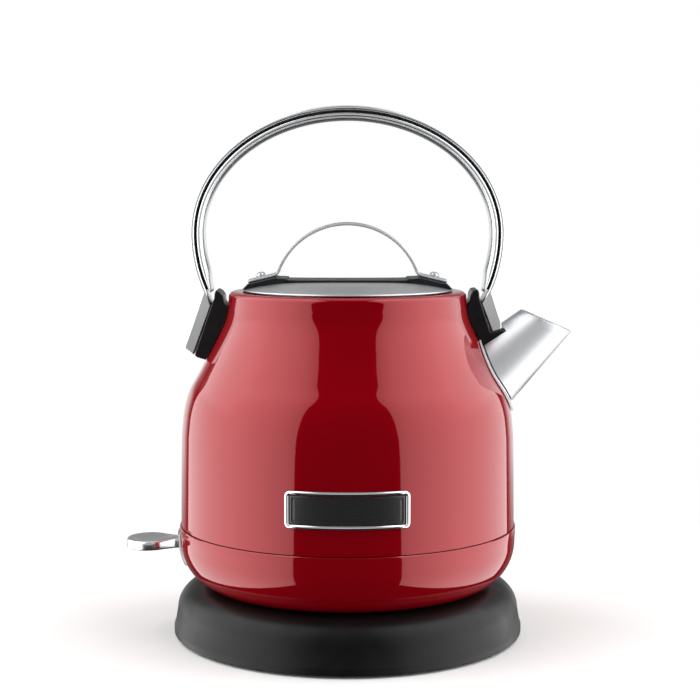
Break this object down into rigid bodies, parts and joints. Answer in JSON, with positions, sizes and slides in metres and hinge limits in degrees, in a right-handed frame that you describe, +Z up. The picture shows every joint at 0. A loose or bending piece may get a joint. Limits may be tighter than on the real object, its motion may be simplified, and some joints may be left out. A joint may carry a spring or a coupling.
{
  "type": "electric kettle",
  "caption": "Cordless electric kettle with a painted squat body, hoop handle, conical spout, lift-off lid and press-down switch lever, seated on a round power base.",
  "frame": {"origin": "on the table surface, at the middle of the length from lever tip to spout tip, which is also the axis of the kettle and of its base", "axes": "+Z up along the kettle's axis, +X towards the spout, -X towards the switch lever, -Y towards the badge at the front"},
  "size_m": [0.2216, 0.1736, 0.261],
  "materials": {
    "red_enamel": "high-gloss candy red paint over steel",
    "chrome": "polished chrome plate",
    "brushed_steel": "fine brushed stainless steel",
    "black_plastic": "satin moulded black plastic",
    "base_plastic": "fine-textured matte black plastic",
    "rubber": "matte dark silicone rubber",
    "contact_brass": "bright contact brass",
    "heatproof_plastic": "off-white heat-resistant moulding",
    "aluminium": "dull drawn aluminium sheath"
  },
  "bodies": {
    "power_base": {"base_shell": "base_plastic", "base_floor": "base_plastic", "base_foot_1": "rubber", "base_foot_2": "rubber", "base_foot_3": "rubber", "base_foot_4": "rubber", "base_screw_1": "brushed_steel", "base_screw_2": "brushed_steel", "base_screw_3": "brushed_steel", "connector_post": "base_plastic", "contact_sleeve_outer": "contact_brass", "contact_sleeve_inner": "contact_brass", "earth_sleeve": "contact_brass", "terminal_block": "heatproof_plastic", "cord_gland": "base_plastic"},
    "coupler": {"connector_socket": "heatproof_plastic", "socket_ring_contact": "contact_brass", "socket_earth_pin": "contact_brass"},
    "kettle": {"seam_seal": "rubber", "cover_screw_1": "brushed_steel", "cover_screw_2": "brushed_steel", "cover_screw_3": "brushed_steel", "element_plate": "brushed_steel", "steam_tube": "brushed_steel", "handle_stud_left": "brushed_steel", "handle_stud_right": "brushed_steel", "handle_nut_left": "brushed_steel", "handle_nut_right": "brushed_steel", "spout": "brushed_steel", "spout_filter": "brushed_steel", "lever_pin": "brushed_steel", "trip_pin": "brushed_steel", "bimetal_disc": "contact_brass", "switch_bracket": "heatproof_plastic", "control_housing": "heatproof_plastic", "body_shell": "red_enamel", "lower_shell": "red_enamel", "bottom_cover": "black_plastic", "handle_core": "black_plastic", "spacer_left": "black_plastic", "spacer_right": "black_plastic", "badge_plate": "black_plastic", "handle_frame": "chrome", "handle_grip": "chrome", "spout_collar": "chrome", "badge_frame": "chrome", "switch_escutcheon": "chrome", "heating_element": "aluminium"},
    "switch": {"switch_lever": "chrome"},
    "trip": {"trip_arm": "heatproof_plastic"},
    "lid": {"lid_plate": "brushed_steel", "lid_inner_cap": "brushed_steel", "lid_gasket": "rubber", "lid_saddle": "black_plastic", "lid_strap": "brushed_steel", "lid_rivet_left": "brushed_steel", "lid_rivet_right": "brushed_steel"}
  },
  "joints": [
    {"name": "kettle_lift", "type": "slide", "parent": "power_base", "child": "coupler", "axis": [0, 0, 1], "range_m": [0, 0.045]},
    {"name": "kettle_swivel", "type": "hinge", "parent": "coupler", "child": "kettle", "pos_m": [0, 0, 0.04], "axis": [0, 0, 1], "continuous": true},
    {"name": "lid_lift", "type": "slide", "parent": "kettle", "child": "lid", "axis": [0, 0, 1], "range_m": [0, 0.042]},
    {"name": "switch_press", "type": "hinge", "parent": "kettle", "child": "switch", "pos_m": [-0.07, 0, 0.0447], "axis": [0, -1, 0], "range_deg": [0, 9]},
    {"name": "trip_rock", "type": "hinge", "parent": "kettle", "child": "trip", "pos_m": [-0.046, 0, 0.0464], "axis": [0, -1, 0], "range_deg": [-6, 0]}
  ],
  "couplings": [
    {"joint": "trip_rock", "follows": "switch_press", "ratio": -0.6}
  ]
}
